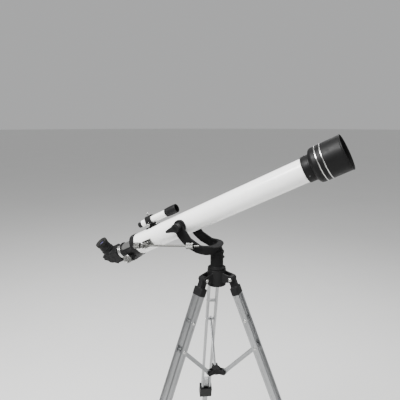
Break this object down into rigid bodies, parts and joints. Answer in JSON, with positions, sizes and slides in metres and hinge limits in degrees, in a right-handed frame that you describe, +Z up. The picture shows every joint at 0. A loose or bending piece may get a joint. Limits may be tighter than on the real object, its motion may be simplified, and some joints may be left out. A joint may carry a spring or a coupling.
{
  "type": "telescope on tripod",
  "caption": "Small white refracting telescope with black dew shield, finder and star diagonal, on a slanted fork head and a silver folding tripod.",
  "frame": {"origin": "on the floor, at the middle of the bounding box's base", "axes": "+Z up, +X the way the telescope looks, +Y its left side"},
  "size_m": [0.8482, 0.8132, 1.4061],
  "materials": {
    "white_paint": "gloss white enamel over aluminium tube",
    "black_metal": "satin black coat over cast and turned aluminium",
    "black_plastic": "moulded black plastic, satin",
    "eyecup": "black plastic and soft black eyecup",
    "chrome": "bright plated metal",
    "leg_aluminium": "natural satin aluminium",
    "glass": "coated optical glass",
    "mirror": "aluminised glass",
    "rubber": "matt black rubber"
  },
  "bodies": {
    "tripod": {"tripod_hub": "black_plastic", "mount_post": "black_metal"},
    "azimuth_lock": {"azimuth_lock_knob": "black_plastic"},
    "leg_1": {"leg_1_upper": "leg_aluminium", "leg_1_clamp": "black_plastic"},
    "leg_1_lock": {"leg_1_lock_knob": "black_plastic"},
    "leg_1_extension": {"leg_1_lower": "leg_aluminium", "leg_1_foot": "rubber"},
    "stay_1": {"brace_1": "leg_aluminium"},
    "leg_2": {"leg_2_upper": "leg_aluminium", "leg_2_clamp": "black_plastic"},
    "leg_2_lock": {"leg_2_lock_knob": "black_plastic"},
    "leg_2_extension": {"leg_2_lower": "leg_aluminium", "leg_2_foot": "rubber"},
    "stay_2": {"brace_2": "leg_aluminium"},
    "leg_3": {"leg_3_upper": "leg_aluminium", "leg_3_clamp": "black_plastic"},
    "leg_3_lock": {"leg_3_lock_knob": "black_plastic"},
    "leg_3_extension": {"leg_3_lower": "leg_aluminium", "leg_3_foot": "rubber"},
    "stay_3": {"brace_3": "leg_aluminium"},
    "spreader": {"spreader_hub": "black_plastic"},
    "fork": {"yoke_fork": "black_metal"},
    "altitude_lock_left": {"altitude_knob_left": "black_plastic"},
    "altitude_lock_right": {"altitude_knob_right": "black_plastic"},
    "rod_clamp_body": {"rod_clamp": "chrome"},
    "optical_tube": {"main_tube": "white_paint", "pivot_plate_left": "black_metal", "pivot_plate_right": "black_metal", "objective_cell": "black_metal", "lens_flint": "glass", "lens_crown": "glass", "lens_ring": "black_metal", "dew_shield": "black_metal", "trim_ring_rear": "chrome", "trim_ring_front": "chrome", "focuser_housing": "black_plastic", "focuser_barrel": "chrome", "finder_bracket": "black_plastic", "finder_tube": "white_paint", "finder_objective_cell": "black_plastic", "rod_bracket": "chrome"},
    "rod_body": {"altitude_rod": "chrome"},
    "rod_wheel_body": {"rod_wheel": "chrome"},
    "draw": {"drawtube": "chrome", "focus_rack": "black_plastic"},
    "focus_pinion": {"pinion_shaft": "leg_aluminium", "focus_knob_left": "chrome", "focus_knob_right": "chrome"},
    "diagonal": {"diagonal_body": "black_plastic", "diagonal_nose": "chrome", "diagonal_back_plate": "black_plastic", "diagonal_mirror": "mirror"},
    "eyepiece": {"eyepiece_barrel": "chrome", "eyepiece_body": "eyecup", "eyepiece_lens": "glass"},
    "finder_eye": {"finder_eyepiece": "black_plastic"},
    "finder_screw_a": {"finder_screw_1": "chrome"},
    "finder_screw_b": {"finder_screw_2": "chrome"},
    "finder_screw_c": {"finder_screw_3": "chrome"}
  },
  "joints": [
    {"name": "azimuth_lock_turn", "type": "hinge", "parent": "tripod", "child": "azimuth_lock", "pos_m": [-0.03856, 0, 1.0573], "axis": [0, 1, 0], "range_deg": [-120, 120]},
    {"name": "leg_1_fold", "type": "hinge", "parent": "tripod", "child": "leg_1", "pos_m": [0.00644, 0, 1.01], "axis": [0, 1, 0], "range_deg": [0, 18]},
    {"name": "leg_1_lock_turn", "type": "hinge", "parent": "leg_1", "child": "leg_1_lock", "pos_m": [0.22184, 0, 0.47687], "axis": [0.9272, 0, 0.3746], "range_deg": [-120, 120]},
    {"name": "leg_1_slide", "type": "slide", "parent": "leg_1", "child": "leg_1_extension", "axis": [0.3746, 0, -0.9272], "range_m": [-0.24, 0]},
    {"name": "brace_1_swing", "type": "hinge", "parent": "leg_1", "child": "stay_1", "pos_m": [0.08137, 0, 0.82456], "axis": [0, 1, 0], "range_deg": [-48, 0]},
    {"name": "leg_2_fold", "type": "hinge", "parent": "tripod", "child": "leg_2", "pos_m": [-0.06106, 0.03897, 1.01], "axis": [-0.866, -0.5, 0], "range_deg": [0, 18]},
    {"name": "leg_2_lock_turn", "type": "hinge", "parent": "leg_2", "child": "leg_2_lock", "pos_m": [-0.16876, 0.22551, 0.47687], "axis": [-0.4636, 0.803, 0.3746], "range_deg": [-120, 120]},
    {"name": "leg_2_slide", "type": "slide", "parent": "leg_2", "child": "leg_2_extension", "axis": [-0.1873, 0.3244, -0.9272], "range_m": [-0.24, 0]},
    {"name": "brace_2_swing", "type": "hinge", "parent": "leg_2", "child": "stay_2", "pos_m": [-0.09852, 0.10386, 0.82456], "axis": [-0.866, -0.5, 0], "range_deg": [-48, 0]},
    {"name": "leg_3_fold", "type": "hinge", "parent": "tripod", "child": "leg_3", "pos_m": [-0.06106, -0.03897, 1.01], "axis": [0.866, -0.5, 0], "range_deg": [0, 18]},
    {"name": "leg_3_lock_turn", "type": "hinge", "parent": "leg_3", "child": "leg_3_lock", "pos_m": [-0.16876, -0.22551, 0.47687], "axis": [-0.4636, -0.803, 0.3746], "range_deg": [-120, 120]},
    {"name": "leg_3_slide", "type": "slide", "parent": "leg_3", "child": "leg_3_extension", "axis": [-0.1873, -0.3244, -0.9272], "range_m": [-0.24, 0]},
    {"name": "brace_3_swing", "type": "hinge", "parent": "leg_3", "child": "stay_3", "pos_m": [-0.09852, -0.10386, 0.82456], "axis": [0.866, -0.5, 0], "range_deg": [-48, 0]},
    {"name": "spreader_level", "type": "hinge", "parent": "stay_1", "child": "spreader", "pos_m": [-0.01356, 0, 0.72166], "axis": [0, 1, 0], "range_deg": [0, 30]},
    {"name": "azimuth", "type": "hinge", "parent": "tripod", "child": "fork", "pos_m": [-0.03856, 0, 1.0776], "axis": [0, 0, 1], "continuous": true},
    {"name": "altitude_lock_left_turn", "type": "hinge", "parent": "fork", "child": "altitude_lock_left", "pos_m": [-0.13656, 0, 1.1496], "axis": [0, 1, 0], "range_deg": [-30, 30]},
    {"name": "altitude_lock_right_turn", "type": "hinge", "parent": "fork", "child": "altitude_lock_right", "pos_m": [-0.13656, 0, 1.1496], "axis": [0, -1, 0], "range_deg": [-30, 30]},
    {"name": "altitude", "type": "hinge", "parent": "fork", "child": "optical_tube", "pos_m": [-0.13656, 0, 1.1496], "axis": [0, -1, 0], "range_deg": [-25, 25]},
    {"name": "rod_clamp_swivel", "type": "hinge", "parent": "fork", "child": "rod_clamp_body", "pos_m": [-0.09456, -0.054, 1.1046], "axis": [0, -1, 0], "range_deg": [-19, 19]},
    {"name": "rod_swing", "type": "hinge", "parent": "optical_tube", "child": "rod_body", "pos_m": [-0.23985, -0.054, 1.08799], "axis": [0, -1, 0], "range_deg": [-7, 7]},
    {"name": "rod_wheel_turn", "type": "hinge", "parent": "rod_body", "child": "rod_wheel_body", "pos_m": [-0.23985, -0.054, 1.08799], "axis": [0.9935, 0, 0.1136], "continuous": true},
    {"name": "focus_slide", "type": "slide", "parent": "optical_tube", "child": "draw", "axis": [-0.891, 0, -0.454], "range_m": [-0.003, 0.055]},
    {"name": "focus_knob_turn", "type": "hinge", "parent": "optical_tube", "child": "focus_pinion", "pos_m": [-0.31035, 0, 1.03254], "axis": [0, -1, 0], "range_deg": [-40, 660]},
    {"name": "diagonal_turn", "type": "hinge", "parent": "draw", "child": "diagonal", "pos_m": [-0.38247, 0, 1.0243], "axis": [0.891, 0, 0.454], "continuous": true},
    {"name": "eyepiece_slide", "type": "slide", "parent": "diagonal", "child": "eyepiece", "axis": [-0.4008, -0.4695, 0.7867], "range_m": [0, 0.03]},
    {"name": "finder_focus", "type": "slide", "parent": "optical_tube", "child": "finder_eye", "axis": [-0.891, 0, -0.454], "range_m": [-0.003, 0.004]},
    {"name": "finder_screw_1_turn", "type": "hinge", "parent": "optical_tube", "child": "finder_screw_a", "pos_m": [-0.24836, 0, 1.14875], "axis": [-0.454, 0, 0.891], "range_deg": [-120, 120]},
    {"name": "finder_screw_2_turn", "type": "hinge", "parent": "optical_tube", "child": "finder_screw_b", "pos_m": [-0.24836, 0, 1.14875], "axis": [0.227, -0.866, -0.4455], "range_deg": [-120, 120]},
    {"name": "finder_screw_3_turn", "type": "hinge", "parent": "optical_tube", "child": "finder_screw_c", "pos_m": [-0.24836, 0, 1.14875], "axis": [0.227, 0.866, -0.4455], "range_deg": [-120, 120]}
  ],
  "couplings": [
    {"joint": "brace_1_swing", "follows": "leg_1_fold", "ratio": -2.62},
    {"joint": "leg_2_fold", "follows": "leg_1_fold", "ratio": 1},
    {"joint": "brace_2_swing", "follows": "leg_1_fold", "ratio": -2.62},
    {"joint": "leg_3_fold", "follows": "leg_1_fold", "ratio": 1},
    {"joint": "brace_3_swing", "follows": "leg_1_fold", "ratio": -2.62},
    {"joint": "spreader_level", "follows": "leg_1_fold", "ratio": 1.62},
    {"joint": "rod_clamp_swivel", "follows": "altitude", "ratio": 0.75},
    {"joint": "rod_swing", "follows": "altitude", "ratio": -0.25},
    {"joint": "focus_knob_turn", "follows": "focus_slide", "rad_per_m": 208.33}
  ]
}
